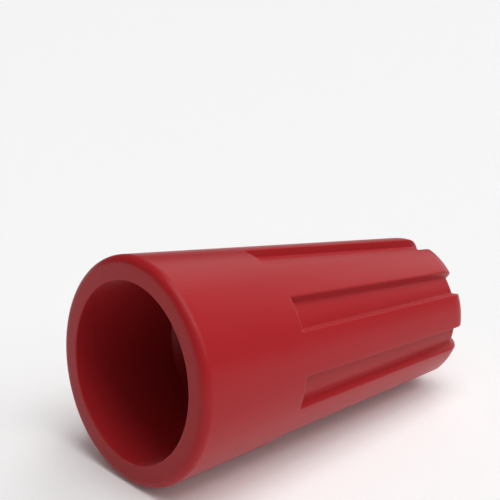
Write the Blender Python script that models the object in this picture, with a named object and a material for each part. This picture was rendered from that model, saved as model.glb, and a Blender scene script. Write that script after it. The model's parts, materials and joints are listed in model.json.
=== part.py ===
"""Twist-on wire connector: a fluted plastic thimble with a tapered square-wire spring inside.

The stripped ends of two or more wires go in at the open mouth, and turning the thimble screws
its spring onto them. The thimble, called the shell here, is one blind moulding. Its bore has
two stretches: a smooth skirt that covers the insulation, then, behind a sloped lead-in ledge,
a narrower tapered seat that holds the spring. Eight flutes for the fingers start where the
skirt ends and run out over the rounded shoulder of the closed end.

Both pieces are modelled along local +Z, with the middle of the mouth at the local origin, and
hang from one empty. The empty lays them on their side, as a dropped connector comes to rest:
the cone lies on one of its generators, so its axis dips towards the closed end. World +X runs
from the mouth to the closed end and +Z is up. The world origin is the middle of the bottom of
the connector's bounding box.
"""
import math

import bmesh
import bpy
from mathutils import Matrix, Vector

MM = 0.001

# The shell outside
LENGTH = 29.3 * MM                     # mouth to the crest of the closed end
SKIRT_RADIUS = 8.0 * MM                # cone radius in the plane of the mouth
CROWN_RADIUS = 5.745 * MM              # cone radius in the plane of the closed end
RIM_ROUNDING = 0.62 * MM               # rounding of the outer edge of the rim
SHOULDER_ROUNDING = 1.5 * MM           # rounding between the cone and the closed end
DISH_INSET = 2.545 * MM                # from the cone in to the flat middle of the closed end
DISH_DEPTH = 0.13 * MM                 # how far that flat lies below the crest
DISH_RIM = 0.25 * MM                   # width of the slope from the flat up to the crest

# The flutes
FLUTE_COUNT = 8
FLUTE_START = 9.65 * MM                # from the mouth to the end wall of a flute
FLUTE_DEPTH = 0.6 * MM
FLUTE_HALF_WIDTH_SKIRT = 1.08 * MM     # half width of the floor where the flute starts
FLUTE_HALF_WIDTH_CROWN = 0.76 * MM     # half width of the floor at the shoulder
FLUTE_HALF_WIDTH_DISH = 0.56 * MM      # half width of the floor where it runs out
FLUTE_SPLAY = math.radians(18.0)       # lean of each side wall
FLUTE_TURN_DROP = 0.95 * MM            # below the crest, the floor turns inward here
FLUTE_RAMP_INSET = 1.1 * MM            # the ramp starts this far inside the cone ...
FLUTE_RAMP_DROP = 0.5 * MM             # ... and this far below the crest
FLUTE_REACH = 0.4 * MM                 # the ramp runs out this far inside the dish's edge
FLUTE_PHASE = math.radians(9.5)        # turn of the flute nearest the ground, from straight down

# The bore
SKIRT_WALL = 1.725 * MM                # wall in the plane of the mouth
SKIRT_DEPTH = 8.9 * MM                 # from the mouth to the ledge
SKIRT_DRAFT = math.radians(0.8)
LEDGE_WIDTH = 0.6 * MM                 # across the ledge, towards the axis
LEDGE_DEPTH = 0.4 * MM                 # along the axis, so wires slide off it into the spring
END_WALL = 3.3 * MM                    # solid plastic at the closed end
TAIL_WALL = 2.25 * MM                  # cone wall over the narrow end of the bore

# The spring
WIRE_SIDE = 1.0 * MM                   # square wire, one corner towards the axis
COIL_GAP = 0.34 * MM                   # between the corners of neighbouring coils
CLEARANCE = 0.3 * MM                   # between the spring and the plastic all round

# Facets
SIDES = 48                             # sides of each round stretch of the shell
ROUNDING_STEPS = 4
COIL_SIDES = 28                        # straight stretches in one turn of the wire

# Worked out from the values above
HALF_DIAGONAL = WIRE_SIDE / math.sqrt(2.0)
DISH_RADIUS = CROWN_RADIUS - DISH_INSET
MOUTH_RADIUS = SKIRT_RADIUS - SKIRT_WALL
THROAT_RADIUS = MOUTH_RADIUS - SKIRT_DEPTH * math.tan(SKIRT_DRAFT)
SEAT_START = SKIRT_DEPTH + LEDGE_DEPTH
SEAT_END = LENGTH - END_WALL
SEAT_RADIUS_FRONT = THROAT_RADIUS - LEDGE_WIDTH
SEAT_RADIUS_TAIL = CROWN_RADIUS - TAIL_WALL
FACET_SQUEEZE = math.cos(math.pi / SIDES)   # from a facet's corner to its middle
LEAN = math.atan2((SKIRT_RADIUS - CROWN_RADIUS) * FACET_SQUEEZE, LENGTH)


def clear_scene():
    """Remove every object that the file opens with."""
    for obj in list(bpy.data.objects):
        bpy.data.objects.remove(obj, do_unlink=True)


def plastic_or_metal(name, colour, roughness, metallic):
    """A Principled material of one colour."""
    material = bpy.data.materials.new(name)
    material.use_nodes = True
    shader = material.node_tree.nodes["Principled BSDF"]
    shader.inputs["Base Color"].default_value = (*colour, 1.0)
    shader.inputs["Roughness"].default_value = roughness
    shader.inputs["Metallic"].default_value = metallic
    return material


def add_object(name, bm, material=None):
    """Put a bmesh into a new object of the scene, with its faces pointing out."""
    bmesh.ops.recalc_face_normals(bm, faces=bm.faces)
    mesh = bpy.data.meshes.new(name)
    bm.to_mesh(mesh)
    bm.free()
    if material is not None:
        mesh.materials.append(material)
    obj = bpy.data.objects.new(name, mesh)
    bpy.context.scene.collection.objects.link(obj)
    return obj


def smooth_round_faces(obj, angle):
    """Shade the round stretches smooth and keep the edges sharper than the angle."""
    obj.data.shade_smooth()
    obj.data.set_sharp_from_angle(angle=angle)


def cone_radius(height):
    """Radius of the shell's outer cone at a height above the mouth."""
    return SKIRT_RADIUS + (CROWN_RADIUS - SKIRT_RADIUS) * height / LENGTH


def seat_radius(height):
    """Radius of the spring's tapered seat at a height above the mouth."""
    share = (height - SEAT_START) / (SEAT_END - SEAT_START)
    return SEAT_RADIUS_FRONT + (SEAT_RADIUS_TAIL - SEAT_RADIUS_FRONT) * share


def rounded_corner(corner, before, after, radius, steps):
    """Points of an arc that rounds the corner between two straight lines.

    The arc touches each line at radius / tan(half the angle between them) from the corner.
    """
    to_before = (Vector(before) - Vector(corner)).normalized()
    to_after = (Vector(after) - Vector(corner)).normalized()
    half_angle = to_before.angle(to_after) / 2.0
    middle = Vector(corner) + (to_before + to_after).normalized() * radius / math.sin(half_angle)
    reach = radius / math.tan(half_angle)
    first = Vector(corner) + to_before * reach - middle
    last = Vector(corner) + to_after * reach - middle
    sweep = first.angle_signed(last)
    arc = [Matrix.Rotation(-sweep * step / steps, 2) @ first + middle for step in range(steps + 1)]
    return [tuple(point) for point in arc]


def shell_outline():
    """Half section of the shell as (radius, height), from the closed end round to the blind bore."""
    crest = (DISH_RADIUS + DISH_RIM, LENGTH)
    crown_corner = (CROWN_RADIUS, LENGTH)
    rim_corner = (SKIRT_RADIUS, 0.0)
    mouth_edge = (MOUTH_RADIUS, 0.0)
    outline = [(0.0, LENGTH - DISH_DEPTH), (DISH_RADIUS, LENGTH - DISH_DEPTH), crest]
    outline += rounded_corner(crown_corner, crest, rim_corner, SHOULDER_ROUNDING, ROUNDING_STEPS)
    outline += rounded_corner(rim_corner, crown_corner, mouth_edge, RIM_ROUNDING, ROUNDING_STEPS)
    outline += [mouth_edge, (THROAT_RADIUS, SKIRT_DEPTH), (SEAT_RADIUS_FRONT, SEAT_START)]
    outline += [(SEAT_RADIUS_TAIL, SEAT_END), (0.0, SEAT_END)]
    return outline


def turned_solid(outline):
    """Spin a half section about Z, with the middle of one facet facing local +X."""
    bm = bmesh.new()
    half_step = Matrix.Rotation(math.pi / SIDES, 4, "Z")
    points = [bm.verts.new(half_step @ Vector((radius, 0.0, height))) for radius, height in outline]
    edges = [bm.edges.new(pair) for pair in zip(points, points[1:])]
    bmesh.ops.spin(bm, geom=points + edges, cent=(0, 0, 0), axis=(0, 0, 1),
                   angle=math.tau, steps=SIDES, use_merge=True)
    bmesh.ops.remove_doubles(bm, verts=bm.verts, dist=0.001 * MM)
    return bm


def flute_path():
    """Floor of a flute as (radius, height, outward direction in that plane, half width)."""
    turn_height = LENGTH - FLUTE_TURN_DROP
    turn_radius = cone_radius(turn_height) - FLUTE_DEPTH
    ramp_radius = CROWN_RADIUS - FLUTE_RAMP_INSET
    ramp_height = LENGTH - FLUTE_RAMP_DROP
    end_radius = DISH_RADIUS - FLUTE_REACH
    rise = (FLUTE_RAMP_DROP - DISH_DEPTH) / (ramp_radius - end_radius)
    past_end = 0.5 * end_radius
    radially, diagonally, upwards = Vector((1, 0)), Vector((1, 1)).normalized(), Vector((0, 1))
    bend = (0.35 * ramp_radius + 0.65 * turn_radius, 0.55 * ramp_height + 0.45 * turn_height)
    return [
        (cone_radius(FLUTE_START) - FLUTE_DEPTH, FLUTE_START, radially, FLUTE_HALF_WIDTH_SKIRT),
        (turn_radius, turn_height, radially, FLUTE_HALF_WIDTH_CROWN),
        (*bend, diagonally, FLUTE_HALF_WIDTH_CROWN),
        (ramp_radius, ramp_height, upwards, FLUTE_HALF_WIDTH_CROWN),
        (end_radius, LENGTH - DISH_DEPTH, upwards, FLUTE_HALF_WIDTH_DISH),
        (end_radius - past_end, LENGTH - DISH_DEPTH + rise * past_end, upwards,
         FLUTE_HALF_WIDTH_DISH),
    ]


def flute_cutters():
    """The wedges that the flutes leave behind: each a row of four-cornered sections."""
    bm = bmesh.new()
    stand_out = FLUTE_DEPTH + SHOULDER_ROUNDING
    for number in range(FLUTE_COUNT):
        turn = Matrix.Rotation(FLUTE_PHASE + math.tau * number / FLUTE_COUNT, 4, "Z")
        sections = []
        for radius, height, outward, half_width in flute_path():
            outer_half_width = half_width + stand_out * math.tan(FLUTE_SPLAY)
            outer_radius = radius + outward.x * stand_out
            outer_height = height + outward.y * stand_out
            corners = [(radius, -half_width, height), (radius, half_width, height),
                       (outer_radius, outer_half_width, outer_height),
                       (outer_radius, -outer_half_width, outer_height)]
            sections.append([bm.verts.new(turn @ Vector(corner)) for corner in corners])
        for lower, upper in zip(sections, sections[1:]):
            for side in range(4):
                after = (side + 1) % 4
                bm.faces.new((lower[side], lower[after], upper[after], upper[side]))
        bm.faces.new(sections[0])
        bm.faces.new(sections[-1])
    cutters = add_object("flute_cutters", bm)
    cutters.hide_render = True
    cutters.display_type = "WIRE"
    return cutters


def make_shell():
    """The moulded thimble: a turned body with the flutes cut out of it."""
    red = plastic_or_metal("red_plastic", (0.40, 0.018, 0.024), 0.42, 0.0)
    shell = add_object("shell", turned_solid(shell_outline()), red)
    cut = shell.modifiers.new("flutes", "BOOLEAN")
    cut.operation = "DIFFERENCE"
    cut.solver = "EXACT"
    cut.object = flute_cutters()
    smooth_round_faces(shell, math.radians(25.0))
    return shell


def make_spring():
    """Right-handed tapered coil of square wire.

    The middle of the wire climbs by one pitch in each turn, and its distance from the axis
    keeps the outer corner one clearance inside the seat.
    """
    first_height = SEAT_START + CLEARANCE + HALF_DIAGONAL
    last_height = SEAT_END - CLEARANCE - HALF_DIAGONAL
    pitch = 2.0 * HALF_DIAGONAL + COIL_GAP
    turns = (last_height - first_height) / pitch
    steps = math.ceil(turns * COIL_SIDES)
    bm = bmesh.new()
    rings = []
    for step in range(steps + 1):
        share = step / steps
        height = first_height + (last_height - first_height) * share
        radius = seat_radius(height) - CLEARANCE - HALF_DIAGONAL
        angle = math.tau * turns * share
        ring = []
        for corner in range(4):
            across = HALF_DIAGONAL * math.cos(corner * math.pi / 2.0)
            along = HALF_DIAGONAL * math.sin(corner * math.pi / 2.0)
            distance = radius + across
            ring.append(bm.verts.new((distance * math.cos(angle), distance * math.sin(angle),
                                      height + along)))
        rings.append(ring)
    for ring, following in zip(rings, rings[1:]):
        for side in range(4):
            after = (side + 1) % 4
            bm.faces.new((ring[side], ring[after], following[after], following[side]))
    bm.faces.new(rings[0])
    bm.faces.new(rings[-1])
    zinc = plastic_or_metal("zinc_plated_steel", (0.55, 0.55, 0.56), 0.35, 1.0)
    spring = add_object("spring", bm, zinc)
    smooth_round_faces(spring, math.radians(40.0))
    return spring


def lay_on_side(pieces, shell):
    """Hang the pieces from an empty, tip it over, and bring the origin under the middle."""
    holder = bpy.data.objects.new("connector", None)
    bpy.context.scene.collection.objects.link(holder)
    for piece in pieces:
        piece.parent = holder
    holder.rotation_euler = (0.0, math.pi / 2.0 + LEAN, 0.0)
    tipped = holder.rotation_euler.to_matrix()
    corners = [tipped @ vertex.co for vertex in shell.data.vertices]
    middle = [(min(c[axis] for c in corners) + max(c[axis] for c in corners)) / 2.0
              for axis in range(3)]
    lowest = min(corner.z for corner in corners)
    holder.location = (-middle[0], -middle[1], -lowest)


clear_scene()
shell = make_shell()
spring = make_spring()
lay_on_side([shell, spring, shell.modifiers["flutes"].object], shell)
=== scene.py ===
# %% [markdown]
# # The looks of a twist-on wire connector
#
# A twist-on wire connector is a plastic thimble with a tapered steel spring inside. Electricians
# push the stripped ends of some wires into it and turn it, and the spring screws itself onto the
# bundle. This lesson dresses a measured model of one: it makes the moulded shell and the spring
# as fine surfaces, gives them their plastic and their zinc, and sets a small studio around them.
#
# Every new surface here is worked out as whole numpy arrays. A shape is a function of two
# parameters on a grid, so its formula can be read in a few lines, and the mesh that comes out
# has even rows and columns that follow each edge of the object.

# %% The frame and its measures
import json
import math

import bpy
import numpy as np
from mathutils import Matrix, Vector

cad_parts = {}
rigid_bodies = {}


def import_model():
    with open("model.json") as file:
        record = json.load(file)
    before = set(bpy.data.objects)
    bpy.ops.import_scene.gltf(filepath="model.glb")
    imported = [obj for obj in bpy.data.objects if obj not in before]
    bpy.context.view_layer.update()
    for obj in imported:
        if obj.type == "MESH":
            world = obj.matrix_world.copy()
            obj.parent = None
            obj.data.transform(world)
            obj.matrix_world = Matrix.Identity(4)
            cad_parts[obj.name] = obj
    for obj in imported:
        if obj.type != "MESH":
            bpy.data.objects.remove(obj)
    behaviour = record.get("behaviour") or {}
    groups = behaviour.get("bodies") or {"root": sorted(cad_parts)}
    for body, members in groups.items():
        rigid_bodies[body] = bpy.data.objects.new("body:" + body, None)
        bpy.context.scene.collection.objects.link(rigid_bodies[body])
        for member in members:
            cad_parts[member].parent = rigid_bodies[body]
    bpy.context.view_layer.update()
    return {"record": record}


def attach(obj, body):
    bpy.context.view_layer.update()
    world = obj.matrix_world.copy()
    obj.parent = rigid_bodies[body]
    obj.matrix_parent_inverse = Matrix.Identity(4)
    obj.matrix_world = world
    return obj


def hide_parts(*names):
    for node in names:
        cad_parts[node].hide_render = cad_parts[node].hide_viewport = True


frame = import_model()

# %% [markdown]
# ## Where the connector lies
#
# The connector lies on its side, and since it is a cone its axis dips a few degrees towards the
# closed end. Working straight in the frame would drag that tilt through every formula. So shapes
# are first made in the connector's own terms: a radius from its axis, a height above its mouth
# and an angle round the axis, counted from straight down towards +Y. One function then carries
# any array of such points to its place. The axis itself comes from the record, which gives the
# middle and the direction of the closed end.

# %% The connector's own axis
MM = 0.001                    # a millimetre in metres
LENGTH = 29.3                 # mm, mouth to the crest of the closed end
DISH_DEPTH = 0.13             # mm, how far the middle of the closed end lies below the crest

closed_end = next(m for m in frame["record"]["mounts"] if m["name"] == "closed_end")
AXIS = np.array(closed_end["axis"])
DOWN = np.array([AXIS[2], 0.0, -AXIS[0]])
SIDEWAYS = np.array([0.0, 1.0, 0.0])
MOUTH = np.array(closed_end["pos_m"]) / MM - AXIS * (LENGTH - DISH_DEPTH)
print("middle of the mouth, mm:", MOUTH.round(2), "axis:", AXIS.round(3))


# %% From the connector's own terms into the frame
def place(radius, height, angle):
    """Carry points from the connector's own terms into the frame, in metres.

    Each point is the middle of the mouth, plus its height along the axis, plus its radius split
    by cosine and sine between the downward and the sideways direction.
    """
    radius, height, angle = np.broadcast_arrays(radius, height, angle)
    across = np.cos(angle)[..., None] * DOWN + np.sin(angle)[..., None] * SIDEWAYS
    return (MOUTH + height[..., None] * AXIS + radius[..., None] * across) * MM


print("middle of the closed end, mm:", (place(0.0, LENGTH - DISH_DEPTH, 0.0) / MM).round(2))

# %% [markdown]
# ## From a grid to a mesh
#
# A closed solid that runs round an axis is a stack of rings, with one point at each end where
# the rings have shrunk to nothing. A Screw modifier turns a profile into such a solid, but only
# with rings that are all round, and neither a fluted shell nor a wire has those. The faces of
# a stack follow a rule, so they are worked out as arrays too: each quad joins a column and the
# next one on two neighbouring rings, and a fan of triangles closes each end. Whether the faces
# point outwards depends on which way the rings run, and the sign of the enclosed volume tells:
# where it is negative, every face is turned over.


# %% Closed stack of rings
def ring_faces(rows, columns):
    """Quads between rings 1 .. rows, and fans to point 0 and to the last point."""
    first = 1 + np.arange(rows)[:, None] * columns
    here = first + np.arange(columns)
    there = first + (np.arange(columns) + 1) % columns
    quads = np.stack([here[:-1], there[:-1], there[1:], here[1:]], axis=-1).reshape(-1, 4)
    last = 1 + rows * columns
    start_fan = np.stack([np.zeros(columns, int), there[0], here[0]], axis=-1)
    end_fan = np.stack([np.full(columns, last), here[-1], there[-1]], axis=-1)
    return quads, start_fan, end_fan


def closed_stack(name, rings, start, end):
    """Mesh object from rings of shape (rows, columns, 3) and the two points that close them."""
    rows, columns = rings.shape[:2]
    points = np.concatenate([start[None], rings.reshape(-1, 3), end[None]])
    quads, start_fan, end_fan = ring_faces(rows, columns)
    triangles = np.concatenate([quads[:, :3], quads[:, [0, 2, 3]], start_fan, end_fan])
    a, b, c = (points[triangles[:, corner]] for corner in range(3))
    inside_out = np.einsum("ij,ij->i", a, np.cross(b, c)).sum() < 0
    faces = [part[:, ::-1] if inside_out else part for part in (quads, start_fan, end_fan)]
    mesh = bpy.data.meshes.new(name)
    mesh.from_pydata(points, [], [face for part in faces for face in part.tolist()])
    mesh.shade_smooth()
    piece = bpy.data.objects.new(name, mesh)
    bpy.context.scene.collection.objects.link(piece)
    print(f"{name}: {rows} rings of {columns} points, {len(triangles)} triangles")
    return piece


print("faces on 3 rings of 4 points:", sum(len(part) for part in ring_faces(3, 4)))

# %% [markdown]
# ## Outlines with rounded corners
#
# Nothing that comes out of a mould has a truly sharp edge, and it is the thin bright line along
# each rounded edge that makes a surface read as plastic. A Bevel modifier could round the edges
# of a finished mesh, but it would have to guess them from angles. So an outline is written here
# with its corners and a rounding for each, and the arcs are filled in.

# %% Rounded corners
ARC_POINTS = 25


def rounded(corners):
    """Fine points along straight lines between corners (values ..., rounding).

    The first two values are radius and height. A corner with a rounding becomes an arc that
    touches both of its lines at rounding / tan(half the angle between them) from the corner, and
    any further values glide along with it.
    """
    corners = np.array(corners, float)
    values, roundings = corners[:, :-1], corners[:, -1]
    points = [values[:1]]
    for before, corner, after, rounding in zip(values, values[1:], values[2:], roundings[1:]):
        if rounding == 0.0:
            points.append(corner[None])
            continue
        lines = [(end - corner) / np.linalg.norm((end - corner)[:2]) for end in (before, after)]
        half_angle = math.acos(np.clip(lines[0][:2] @ lines[1][:2], -1, 1)) / 2
        reach = rounding / math.tan(half_angle)
        middle = corner + (lines[0] + lines[1]) / 2 * reach / math.cos(half_angle) ** 2
        share = np.linspace(-1, 1, ARC_POINTS)[:, None] * (math.pi / 2 - half_angle)
        outward = (corner - middle) / np.linalg.norm((corner - middle)[:2]) * rounding
        sideways = (lines[1] - lines[0]) / np.linalg.norm((lines[1] - lines[0])[:2]) * rounding
        points.append(middle + np.cos(share) * outward + np.sin(share) * sideways)
    points.append(values[-1:])
    return np.concatenate(points)


sample = rounded([(0, 0, 0), (1, 0, 0.3), (1, 1, 0)])
print("a square corner with a rounding of 0.3 mm becomes", len(sample), "points")

# %% [markdown]
# ### Where the rows of a mesh go
#
# Rows should be close together where the outline turns and far apart where it is straight, but
# the spacing has to change gently, or smooth shading leaves smudges next to the edges. So each
# stretch of outline is weighed by its length and by how much it turns, the turning is blurred
# along the outline, and the rows are set at equal shares of the weight.

# %% Rows along an outline
FINE = 0.01                   # mm, spacing of the points that an outline is first drawn with


def even(points, count):
    """Count points at equal steps of length along a line of points.

    The length up to each point is the running sum of the steps between points, and the values
    are read off at equal parts of the whole length.
    """
    steps = np.linalg.norm(np.diff(points[:, :2], axis=0), axis=1)
    along = np.concatenate([[0.0], np.cumsum(steps)])
    wanted = np.linspace(0, along[-1], count)
    return np.stack([np.interp(wanted, along, column) for column in points.T], axis=1)


def turning(points):
    """How far a line of points turns at each of its points, in radians."""
    headings = np.unwrap(np.arctan2(*np.diff(points[:, :2], axis=0).T))
    return np.abs(np.diff(headings, prepend=headings[0], append=headings[-1]))


def shares(lines, count, blur=0.22, per_turn=1.0):
    """Places along matched lines of points, at equal shares of length and blurred turning.

    Each point weighs its share of the length plus per_turn times its share of the turning of
    all lines, which is first blurred over a distance in millimetres. The places cut the running
    sum of the weights into equal parts.
    """
    steps = np.linalg.norm(np.diff(lines[0][:, :2], axis=0), axis=1)
    along = np.concatenate([[0.0], np.cumsum(steps)])
    reach = max(1, int(blur / FINE))
    kernel = np.bartlett(2 * reach + 1)
    turns = sum(np.convolve(turning(line), kernel / kernel.sum(), "same") for line in lines)
    weight = np.gradient(along) / along[-1] + per_turn * turns / turns.sum()
    total = np.cumsum(weight) - weight[0]
    return np.interp(np.linspace(0, total[-1], count), total, np.arange(len(total)))


def pick(points, places):
    """Values of a line of points at fractional places along it."""
    return np.stack([np.interp(places, np.arange(len(points)), column) for column in points.T], 1)


print("points at equal steps along it:", even(sample, 5).round(2).tolist())

# %% [markdown]
# ## The moulded shell
#
# The shell is a turned shape with eight flutes pressed into it. The flutes could be cut with
# Booleans, but a cut leaves knife edges and slivers, and a bevel on those is a gamble. Instead
# the surface is a blend of two outlines: one runs over the lands between the flutes, the other
# along the floor of a flute. Both are divided at matching places, so a point can slide from the
# land to the floor along a short straight path, and a single number from 0 to 1, which depends
# only on how far round the flute the point is, says how far it has slid.
#
# Each corner below also carries the angle between the middle of a flute and the middle of
# its side wall. It is wider in the dish than on the cone, because the flutes keep nearly the same
# width while the circle round the axis shrinks.

# %% Sizes of the shell, in millimetres
SKIRT_RADIUS = 8.0            # the cone in the plane of the mouth
CROWN_RADIUS = 5.745          # the cone in the plane of the closed end
RIM_ROUNDING = 0.62           # from the skirt to the rim face
MOUTH_ROUNDING = 0.09         # from the rim face into the bore
SHOULDER_ROUNDING = 1.5       # from the cone to the closed end
DISH_RADIUS, DISH_RIM = 3.2, 0.25   # the dished middle of the closed end, and the slope round it

FLUTE_COUNT = 8
FLUTE_START = 9.65            # from the mouth to the end wall of a flute
FLUTE_DEPTH = 0.6
END_WALL_WIDTH = 0.12         # how far the end wall leans
FLUTE_TURN_DROP = 0.95        # below the crest, where the floor turns inward
RAMP_RADIUS, RAMP_DROP = 4.645, 0.5   # where the floor begins its ramp up to the dish
RUN_OUT_RADIUS = 2.8          # where the floor meets the dish
FLAT_RADIUS = 2.4             # inside this the closed end is flat

MOUTH_RADIUS = 6.275
THROAT_RADIUS, SKIRT_DEPTH = 6.155, 8.52   # the bottom of the skirt bore
LEDGE_RADIUS, LEDGE_DEPTH = 5.52, 0.42     # the inner edge of the ledge, and how much deeper it is
SEAT_START, SEAT_END = 9.3, 26.0           # the spring's seat, from the mouth
COIL_RADIUS_FRONT, COIL_RADIUS_TAIL = 5.251, 3.195   # outer edge of the spring at those heights
print("wall at the mouth, mm:", round(SKIRT_RADIUS - MOUTH_RADIUS, 3),
      "end wall, mm:", round(LENGTH - DISH_DEPTH - SEAT_END, 2))

# %% Land outline and floor outline
WALL_ANGLE_SKIRT = 0.1625     # radians
WALL_ANGLE_CROWN = 0.148
WALL_ANGLE_DISH = 0.236
END_STRETCH = 0.4, 0.6        # the end wall's stretch, towards the mouth and away from it
DISH_FOOT_ROUNDING, CREST_ROUNDING, RUN_OUT_ROUNDING = 0.35, 0.25, 1.5
RAMP_ROUNDING, FLOOR_TURN_ROUNDING, END_WALL_ROUNDING = 0.25, 0.3, 0.12
LEDGE_EDGE_ROUNDING, LEDGE_FOOT_ROUNDING = 0.06, 0.08
SEAT_ROUNDING, BLIND_END_ROUNDING = 0.4, 0.5


def cone_radius(height):
    """Radius of the outer cone at a height above the mouth."""
    return SKIRT_RADIUS + (CROWN_RADIUS - SKIRT_RADIUS) * height / LENGTH


def outline_pair():
    """Matched fine outlines of land and flute floor, from the middle of the closed end, over the
    outside, the rim and the bore, to the middle of the blind end.

    Each row is radius, height and wall angle. The pair is drawn in stretches that start and end
    at matching places, and each stretch has the same number of points in both.
    """
    slope = math.atan((SKIRT_RADIUS - CROWN_RADIUS) / LENGTH)
    reach = SHOULDER_ROUNDING * math.tan((math.pi / 2 - slope) / 2)
    crest_edge = CROWN_RADIUS - reach
    cone_top = LENGTH - reach * math.cos(slope)
    floor_turn = LENGTH - FLUTE_TURN_DROP
    dish = LENGTH - DISH_DEPTH
    ramp = LENGTH - RAMP_DROP
    steepness = (dish - ramp) / (RAMP_RADIUS - RUN_OUT_RADIUS)
    ramp_mid = ramp + (RAMP_RADIUS - crest_edge) * steepness
    before, after = FLUTE_START - END_STRETCH[0], FLUTE_START + END_STRETCH[1]
    a_dish, a_crown, a_skirt = WALL_ANGLE_DISH, WALL_ANGLE_CROWN, WALL_ANGLE_SKIRT
    skirt_end = (cone_radius(before), before, a_skirt, 0)
    stretches = [
        ([(0, dish, a_dish, 0), (FLAT_RADIUS, dish, a_dish, 0)],) * 2,
        ([(FLAT_RADIUS, dish, a_dish, 0), (DISH_RADIUS, dish, a_dish, DISH_FOOT_ROUNDING),
          (DISH_RADIUS + DISH_RIM, LENGTH, a_dish, CREST_ROUNDING),
          (crest_edge, LENGTH, a_crown, 0)],
         [(FLAT_RADIUS, dish, a_dish, 0), (RUN_OUT_RADIUS, dish, a_dish, RUN_OUT_ROUNDING),
          (crest_edge, ramp_mid, a_crown, 0)]),
        ([(crest_edge, LENGTH, a_crown, 0), (CROWN_RADIUS, LENGTH, a_crown, SHOULDER_ROUNDING),
          (cone_radius(cone_top), cone_top, a_crown, 0)],
         [(crest_edge, ramp_mid, a_crown, 0), (RAMP_RADIUS, ramp, a_crown, RAMP_ROUNDING),
          (cone_radius(floor_turn) - FLUTE_DEPTH, floor_turn, a_crown, FLOOR_TURN_ROUNDING),
          (cone_radius(cone_top) - FLUTE_DEPTH, cone_top, a_crown, 0)]),
        ([(cone_radius(cone_top), cone_top, a_crown, 0), (cone_radius(after), after, a_skirt, 0)],
         [(cone_radius(cone_top) - FLUTE_DEPTH, cone_top, a_crown, 0),
          (cone_radius(after) - FLUTE_DEPTH, after, a_skirt, 0)]),
        ([(cone_radius(after), after, a_skirt, 0), skirt_end],
         [(cone_radius(after) - FLUTE_DEPTH, after, a_skirt, 0),
          (cone_radius(FLUTE_START) - FLUTE_DEPTH, FLUTE_START + END_WALL_WIDTH, a_skirt,
           END_WALL_ROUNDING),
          (cone_radius(FLUTE_START), FLUTE_START, a_skirt, END_WALL_ROUNDING), skirt_end]),
        ([skirt_end, (SKIRT_RADIUS, 0, a_skirt, RIM_ROUNDING),
          (MOUTH_RADIUS, 0, a_skirt, MOUTH_ROUNDING),
          (THROAT_RADIUS, SKIRT_DEPTH, a_skirt, LEDGE_EDGE_ROUNDING),
          (LEDGE_RADIUS, SKIRT_DEPTH + LEDGE_DEPTH, a_skirt, LEDGE_FOOT_ROUNDING),
          (COIL_RADIUS_FRONT, SEAT_START, a_skirt, SEAT_ROUNDING),
          (COIL_RADIUS_TAIL, SEAT_END, a_skirt, BLIND_END_ROUNDING),
          (0, SEAT_END, a_skirt, 0)],) * 2,
    ]
    land, floor = [], []
    for over_land, along_floor in stretches:
        drawn = rounded(over_land), rounded(along_floor)
        longest = max(np.linalg.norm(np.diff(d[:, :2], axis=0), axis=1).sum() for d in drawn)
        count = max(8, int(longest / FINE))
        land.append(even(drawn[0], count)[1 if land else 0:])
        floor.append(even(drawn[1], count)[1 if floor else 0:])
    return np.concatenate(land), np.concatenate(floor)


land_line, floor_line = outline_pair()
print(f"outlines: {len(land_line)} matched points, land and floor at most "
      f"{np.linalg.norm((land_line - floor_line)[:, :2], axis=1).max():.2f} mm apart")

# %% [markdown]
# ### The side walls of a flute
#
# The blend from land to floor is a ramp with rounded ends. With x counted in wall widths from
# the middle of the wall, a hyperbola sqrt((x + 1/2)^2 + k^2) bends softly from slope -1 to slope
# +1 around x = -1/2. Half the difference of two such hyperbolas, one at each end of the wall, is
# flat, then rises, then is flat again, and k sets how round the two bends are.
#
# The columns of the grid follow the walls all along the flute, so the edges stay crisp however
# the flute widens or narrows.

# %% Side walls
WALL_WIDTH = 0.195            # mm, a side wall seen from straight above
EDGE_SOFTNESS, FOOT_SOFTNESS = 0.17, 0.14   # k at the upper and the lower end of the wall
WALL_REACH = 1.3              # columns are set closely this many wall widths to each side


def wall_blend(x):
    """0 on the land, 1 on the floor: half the difference of two hyperbolas, plus a half."""
    edge = np.sqrt((x + 0.5) ** 2 + EDGE_SOFTNESS ** 2)
    foot = np.sqrt((x - 0.5) ** 2 + FOOT_SOFTNESS ** 2)
    return 0.5 + (edge - foot) / 2


def wall_columns(count):
    """Places across a side wall, in wall widths from its middle, closest where it bends.

    They are the equal shares of length and turning along the wall's own cross-section, from
    the flute floor to the land.
    """
    x = np.arange(WALL_REACH, -WALL_REACH, -FINE / 2)
    section = np.stack([-x * WALL_WIDTH, -wall_blend(x) * FLUTE_DEPTH], axis=1)
    return pick(x[:, None], shares([section], count, blur=0.05, per_turn=1.5))[:, 0]


def sector_angles(wall_angle, wall_width, floor_columns=5, wall_count=17, land_columns=8):
    """Angles of the columns across one flute and half a land to each side, for each row.

    Half of them are set at equal steps over the floor, then across the wall, then at equal steps
    over the land, and the other half is their mirror image.
    """
    half_sector = math.pi / FLUTE_COUNT
    inner = wall_angle - WALL_REACH * wall_width
    outer = wall_angle + WALL_REACH * wall_width
    on_floor = inner * np.linspace(0, 1, floor_columns)[:-1]
    on_wall = wall_angle - wall_columns(wall_count) * wall_width
    on_land = outer + (half_sector - outer) * np.linspace(0, 1, land_columns)[1:]
    half = np.concatenate([on_floor, on_wall, on_land], axis=1)
    return np.concatenate([-half[:, :0:-1], half[:, :-1]], axis=1)


lean = math.degrees(math.atan(WALL_WIDTH / FLUTE_DEPTH))
ends = wall_blend(np.array([-WALL_REACH, WALL_REACH]))
print(f"side walls lean by {lean:.0f} degrees, and the blend goes from {ends[0]:.3f} to {ends[1]:.3f}")

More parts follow.
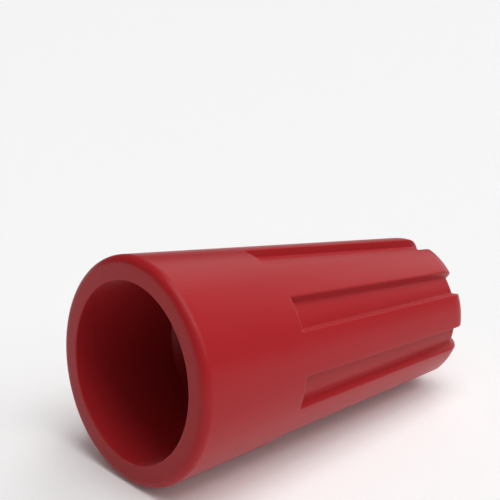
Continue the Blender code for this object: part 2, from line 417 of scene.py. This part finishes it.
# %% [markdown]
# ### The whole surface
#
# With both outlines divided into the same rows, each point is now one sum: the land's radius and
# height, plus the way down to the floor times the blend. One flute and the land next to it are
# worked out once, and eight copies turned about the axis close the ring. An Array modifier could
# repeat the flute as well, but then the seams would have to be merged and their shading checked.

# %% Shell surface
FLUTE_PHASE = math.radians(9.5)   # from straight down to the middle of the nearest flute


def make_shell(rows=170):
    """Blend of the land outline and the floor outline, eight times round the axis.

    Radius and height are those of the land, plus the difference to the floor times the blend at
    the distance from the wall's middle, counted in wall widths.
    """
    places = shares([land_line, floor_line], rows)
    land, floor = pick(land_line, places), pick(floor_line, places)
    wall_angle = land[1:-1, 2:]
    wall_width = WALL_WIDTH / np.maximum(land[1:-1, :1], RUN_OUT_RADIUS)
    one_flute = sector_angles(wall_angle, wall_width)
    sunk = wall_blend((wall_angle - np.abs(one_flute)) / wall_width)
    radius = land[1:-1, :1] + (floor[1:-1, :1] - land[1:-1, :1]) * sunk
    height = land[1:-1, 1:2] + (floor[1:-1, 1:2] - land[1:-1, 1:2]) * sunk
    turns = FLUTE_PHASE + math.tau * np.arange(FLUTE_COUNT) / FLUTE_COUNT
    angle = np.concatenate([one_flute + turn for turn in turns], axis=1)
    rings = place(np.tile(radius, FLUTE_COUNT), np.tile(height, FLUTE_COUNT), angle)
    start, end = place(np.zeros(2), np.array([land[0, 1], land[-1, 1]]), np.zeros(2))
    return closed_stack("moulded_shell", rings, start, end)


shell = make_shell()

# %% [markdown]
# ## The spring
#
# The spring is wound from square wire, with one corner turned towards the axis so that it bites
# into copper like a thread. Its section is a superellipse with an exponent just above one:
# |x|^p + |y|^p = 1 is a diamond at p = 1 and a circle at p = 2, so p = 1.12 is a diamond whose
# corners have been drawn through a die. The section is carried along a tapered helix: the height
# grows evenly with the angle, and the radius follows the seat in the shell. A curve with a bevel
# object would sweep the section too, but it turns the section slowly about the path, and here
# the corner has to face the axis all the way.
#
# The mesh also keeps, at each point, where it lies in the wire itself: two offsets across the
# wire and a shrunk length along it. Noise drawn in these coordinates comes out as long thin
# lines that follow the coil.

# %% Tapered helix of square wire
HALF_DIAGONAL = 0.707         # mm, of the square wire
COIL_GAP = 0.34               # mm, between neighbouring turns
CLEARANCE = 0.3               # mm, from the spring to both ends of its seat
STREAK_STRETCH = 40.0         # lengths along the wire are shrunk by this in its own coordinates


def wire_section(count=32, exponent=1.12):
    """Points round a superellipse, as (radial, axial) offsets in millimetres.

    In each direction the distance is the half diagonal divided by the p-th root of
    |cos|^p + |sin|^p.
    """
    turn = np.linspace(0, math.tau, count, endpoint=False)
    size = (np.abs(np.cos(turn)) ** exponent + np.abs(np.sin(turn)) ** exponent) ** (1 / exponent)
    return HALF_DIAGONAL * np.cos(turn) / size, HALF_DIAGONAL * np.sin(turn) / size


def make_spring(steps_per_turn=80):
    """The section carried along a helix whose radius shrinks as it climbs.

    With the share of the way from 0 to 1, the angle is the share of all turns, the height goes
    evenly from the lowest to the highest turn, and the radius falls evenly with the height. The
    section's offsets are added to radius and height.
    """
    low = SEAT_START + CLEARANCE + HALF_DIAGONAL
    high = SEAT_END - CLEARANCE - HALF_DIAGONAL
    turns = (high - low) / (2 * HALF_DIAGONAL + COIL_GAP)
    share = np.linspace(0, 1, int(turns * steps_per_turn))[:, None]
    height = low + (high - low) * share
    slope = (COIL_RADIUS_TAIL - COIL_RADIUS_FRONT) / (SEAT_END - SEAT_START)
    radius = COIL_RADIUS_FRONT + slope * (height - SEAT_START) - HALF_DIAGONAL
    radial, axial = wire_section()
    angle = math.tau * turns * share
    rings = place(radius + radial, height + axial, angle)
    start, end = rings[0].mean(axis=0), rings[-1].mean(axis=0)
    piece = closed_stack("square_wire_spring", rings, start, end)
    along = angle * radius / STREAK_STRETCH
    section = np.stack(np.broadcast_arrays(radial, axial, along), axis=-1).reshape(-1, 3) * MM
    closed = np.concatenate([section[:1], section, section[-1:]])
    wire = piece.data.attributes.new("wire", "FLOAT_VECTOR", "POINT")
    wire.data.foreach_set("vector", closed.ravel())
    return piece


spring = make_spring()

# %% [markdown]
# ## Finishes as expressions
#
# A finish is a small network of nodes. Written out link by link it is hard to follow, so two
# small classes turn it into arithmetic. A `Signal` is the output of a node, and adding or
# multiplying signals adds the Math node that does it. A `Finish` is a material, and its `add`
# method makes any other node from its type, its settings and what feeds its sockets.


# %% Shader helpers
MIX_FIRST, MIX_SECOND, MIX_RESULT = 6, 7, 2     # a Mix node's sockets for colours


class Signal:
    """An output socket that takes part in arithmetic on values."""

    def __init__(self, finish, socket):
        self.finish, self.socket = finish, socket

    def maths(self, operation, *values):
        return self.finish.add("Math", {"operation": operation}, dict(enumerate(values)))

    def __add__(self, other):
        return self.maths("ADD", self, other)

    def __mul__(self, other):
        return self.maths("MULTIPLY", self, other)

    __radd__, __rmul__ = __add__, __mul__


class Finish:
    """A material whose nodes are added by one method."""

    def __init__(self, name):
        self.material = bpy.data.materials.new(name)
        self.material.use_nodes = True
        self.nodes = self.material.node_tree.nodes
        self.links = self.material.node_tree.links
        self.shader = self.nodes["Principled BSDF"]

    def feed(self, socket, value):
        """Link a signal to a socket, or set the socket's own value."""
        if isinstance(value, Signal):
            self.links.new(value.socket, socket)
        else:
            socket.default_value = value

    def add(self, kind, settings=None, inputs=None, output=0):
        """A new node of a kind: first its settings, then what feeds its sockets."""
        node = self.nodes.new("ShaderNode" + kind)
        for setting, value in (settings or {}).items():
            setattr(node, setting, value)
        for socket, value in (inputs or {}).items():
            self.feed(node.inputs[socket], value)
        return Signal(self, node.outputs[output])

    def noise(self, where, size, detail=2.0, roughness=0.5):
        """Noise from 0 to 1 whose blotches are about a size across, in millimetres."""
        inputs = {"Vector": where, "Scale": 1.0 / (size * MM), "Detail": detail,
                  "Roughness": roughness}
        return self.add("TexNoise", {}, inputs)

    def blend(self, share, first, second):
        """Colour between two colours."""
        inputs = {"Factor": share, MIX_FIRST: (*first, 1), MIX_SECOND: (*second, 1)}
        return self.add("Mix", {"data_type": "RGBA"}, inputs, MIX_RESULT)

    def bump(self, height, strength, distance):
        """Normals tilted as if the surface rose by up to a distance where the height is 1."""
        inputs = {"Strength": strength, "Distance": distance, "Height": height}
        return self.add("Bump", {}, inputs)

    def set(self, **values):
        """Feed the shader's sockets, named with underscores for spaces."""
        for name, value in values.items():
            self.feed(self.shader.inputs[name.replace("_", " ")], value)
        print(f"{self.material.name}: {len(self.nodes)} nodes, sets", ", ".join(values))


print("shader helpers:", Signal.__name__, "and", Finish.__name__)

# %% [markdown]
# ## Red moulded plastic
#
# The shell is a moulded plastic with a dull, slightly waxy face. It hardly mirrors anything when
# looked at straight on, but where the surface turns away from the eye its microscopic roughness
# catches the light as a pale haze. A low index of refraction gives the first, and the shader's
# sheen gives the second. The colour is even, but never quite: pigment clouds it a little. The
# mould's fine grain breaks up the highlights, and the handled surface is a touch shinier in some
# places than in others.

# %% Red plastic
CLOUD_SIZE, SWIRL_SIZE, GRAIN_SIZE = 6.0, 2.1, 0.16   # mm
GRAIN_HEIGHT = 0.02                                   # mm


def red_plastic():
    finish = Finish("semi_matte_red")
    where = finish.add("TexCoord", output="Object")
    clouds = finish.noise(where, CLOUD_SIZE, detail=3.0)
    grain = finish.noise(where, GRAIN_SIZE)
    swirl = finish.noise(where, SWIRL_SIZE, detail=4.0, roughness=0.6)
    colour = finish.blend(clouds, (0.400, 0.0165, 0.0215), (0.435, 0.0195, 0.0245))
    bump = finish.bump(grain + swirl * 0.5, strength=0.06, distance=GRAIN_HEIGHT * MM)
    finish.set(Base_Color=colour, Roughness=0.27 + swirl * 0.10, Normal=bump, IOR=1.25,
               Sheen_Weight=0.15, Sheen_Roughness=0.3)
    return finish.material


shell.data.materials.append(red_plastic())

# %% [markdown]
# ## Zinc-plated wire
#
# Drawn wire carries faint lines along its length, and zinc dulls it to a pale, slightly cloudy
# grey. Streaks in object coordinates would run straight through the coil, so the lines are noise
# in the wire's own coordinates instead. Each stands a trace prouder and is a trace rougher than
# the metal between the lines.

# %% Zinc-plated steel
ZINC_CLOUD_SIZE, LINE_SIZE = 1.5, 0.07                # mm
LINE_HEIGHT = 0.01                                    # mm


def zinc_plated_steel():
    finish = Finish("dull_zinc")
    where = finish.add("TexCoord", output="Object")
    clouds = finish.noise(where, ZINC_CLOUD_SIZE, detail=3.0)
    wire = finish.add("Attribute", {"attribute_name": "wire"}, output="Vector")
    lines = finish.noise(wire, LINE_SIZE, detail=3.0)
    colour = finish.blend(clouds, (0.50, 0.50, 0.52), (0.66, 0.66, 0.67))
    bump = finish.bump(lines, strength=0.25, distance=LINE_HEIGHT * MM)
    finish.set(Base_Color=colour, Metallic=1.0, Roughness=0.18 + clouds * 0.16 + lines * 0.14,
               Normal=bump)
    return finish.material


spring.data.materials.append(zinc_plated_steel())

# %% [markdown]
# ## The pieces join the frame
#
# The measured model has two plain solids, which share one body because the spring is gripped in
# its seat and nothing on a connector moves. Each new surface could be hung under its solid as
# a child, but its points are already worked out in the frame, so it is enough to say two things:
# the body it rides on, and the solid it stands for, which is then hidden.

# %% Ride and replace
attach(shell, "root")
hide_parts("shell")
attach(spring, "root")
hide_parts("spring")
print("on the root body:", shell.name, "for the shell,", spring.name, "for the spring")

# %% [markdown]
# ## A small white studio
#
# The connector lies on a sheet of white card. A curved backdrop is usual in a studio, so that the
# sheet has no far edge, but it would stand in the way when the object is looked at from behind.
# A flat square a hundred times as wide as the object does as well from every side. It lies
# a hair below the cone's lowest line, so the two surfaces never share a plane. The card is
# faintly luminous, which stands for the light that the white walls of a studio throw on it.

# %% Floor
TOOTH_SIZE = 2.0              # mm


def make_floor(half_side=1500.0, drop=0.02):
    """A wide square of a half side, in millimetres, just below the lowest line of the cone."""
    corners = np.array([(-1, -1, 0), (1, -1, 0), (1, 1, 0), (-1, 1, 0)]) * half_side
    mesh = bpy.data.meshes.new("floor")
    mesh.from_pydata((corners - [0, 0, drop]) * MM, [], [(0, 1, 2, 3)])
    floor = bpy.data.objects.new("floor", mesh)
    bpy.context.scene.collection.objects.link(floor)
    finish = Finish("white_card")
    where = finish.add("TexCoord", output="Object")
    tooth = finish.noise(where, TOOTH_SIZE, detail=3.0)
    finish.set(Base_Color=finish.blend(tooth, (0.94, 0.94, 0.94), (0.96, 0.96, 0.96)),
               Roughness=0.9, Emission_Color=(1, 1, 1, 1), Emission_Strength=0.06)
    mesh.materials.append(finish.material)
    print(f"white card: {2 * half_side / 1000:.0f} m square")


make_floor()

# %% [markdown]
# ## Soft light from far away
#
# A large softbox several metres away lights every point of a 3 cm object alike, and that is what
# Blender's sun lamp does: its angle says how large the box looks from here. The two strongest
# hang overhead and high in front, and two weaker ones widen that patch of light to the left and
# the right. One stands in front to the right, a faint one on the other side looks into the mouth,
# and two to the right and behind draw the edges. Area lamps would do as well, but their falloff
# over a few centimetres would have to be balanced for every one of them.

# %% Lights
SCENE = bpy.context.scene


def softbox(name, azimuth, elevation, width, strength):
    """A far softbox, placed by compass angle from the front, height and apparent width."""
    light = bpy.data.lights.new(name, "SUN")
    light.angle, light.energy = math.radians(width), strength
    lamp = bpy.data.objects.new(name, light)
    a, e = math.radians(azimuth), math.radians(elevation)
    away = Vector((math.sin(a) * math.cos(e), -math.cos(a) * math.cos(e), math.sin(e)))
    lamp.rotation_euler = away.to_track_quat("Z", "Y").to_euler()
    SCENE.collection.objects.link(lamp)
    print(f"{name}: {elevation} degrees up, {width} degrees wide, strength {strength}")


softbox("overhead", azimuth=0, elevation=87, width=30, strength=0.83)
softbox("front_high", azimuth=0, elevation=62, width=30, strength=0.86)
softbox("left_high", azimuth=-60, elevation=62, width=30, strength=0.25)
softbox("right_high", azimuth=90, elevation=62, width=30, strength=0.38)
softbox("front_left", azimuth=-35, elevation=35, width=40, strength=0.08)
softbox("front_low", azimuth=22, elevation=38, width=40, strength=0.60)
softbox("right_low", azimuth=90, elevation=18, width=32, strength=0.44)
softbox("back_right", azimuth=122, elevation=36, width=38, strength=0.34)

# %% [markdown]
# ## The surround
#
# Everything past the edge of the sheet is the world. If it gave light too, it would wash out the
# shading that the softboxes draw, so the surround shows to the camera only. It is as pale as
# the sheet, so that low views of the connector have no horizon.

# %% World
PALE = 0.91

world = bpy.data.worlds.new("surround")
world.use_nodes = True
world.node_tree.nodes["Background"].inputs["Color"].default_value = (PALE, PALE, PALE, 1)
world.cycles_visibility.diffuse = False
world.cycles_visibility.glossy = False
SCENE.world = world
SCENE.view_settings.view_transform = "Standard"
print("surround:", world.name, "shown to the camera only, tones as they are")

# %% [markdown]
# ## The camera
#
# The camera looks into the mouth from the front left and a little from above, so that one view
# holds the rim, the bore, the skirt and the flutes. It stands about 8 cm from the mouth, where
# the near end looks clearly larger than the far one, as it does to the eye. Its place is given
# from the middle of the mouth, and its aim as three angles: how far it looks down, which way it
# heads, counted from +Y towards +X, and how far it leans. The three directions of its picture
# follow from these and make the columns of its matrix, which avoids the order of Euler turns.

# %% Camera
CAMERA_OFFSET = -41.74, -58.09, 31.20                 # mm from the middle of the mouth
PITCH, HEADING, ROLL = 0.3066, 0.7358, 0.00863        # radians


def make_camera():
    """Camera whose picture axes are worked out from the three angles."""
    camera_data = bpy.data.cameras.new("camera")
    camera_data.sensor_width, camera_data.lens = 36.0, 83.05
    camera_data.clip_start, camera_data.clip_end = 0.001, 10.0
    camera = bpy.data.objects.new("camera", camera_data)
    SCENE.collection.objects.link(camera)
    forward = Vector((math.sin(HEADING) * math.cos(PITCH), math.cos(HEADING) * math.cos(PITCH),
                      -math.sin(PITCH)))
    level = forward.cross(Vector((0, 0, 1))).normalized()
    upright = level.cross(forward)
    right = math.cos(ROLL) * level + math.sin(ROLL) * upright
    up = math.cos(ROLL) * upright - math.sin(ROLL) * level
    turn = Matrix((right, up, -forward)).transposed().to_4x4()
    turn.translation = (Vector(MOUTH) + Vector(CAMERA_OFFSET)) * MM
    camera.matrix_world = turn
    SCENE.camera = camera
    print(f"camera: {Vector(CAMERA_OFFSET).length:.0f} mm from the mouth")


make_camera()
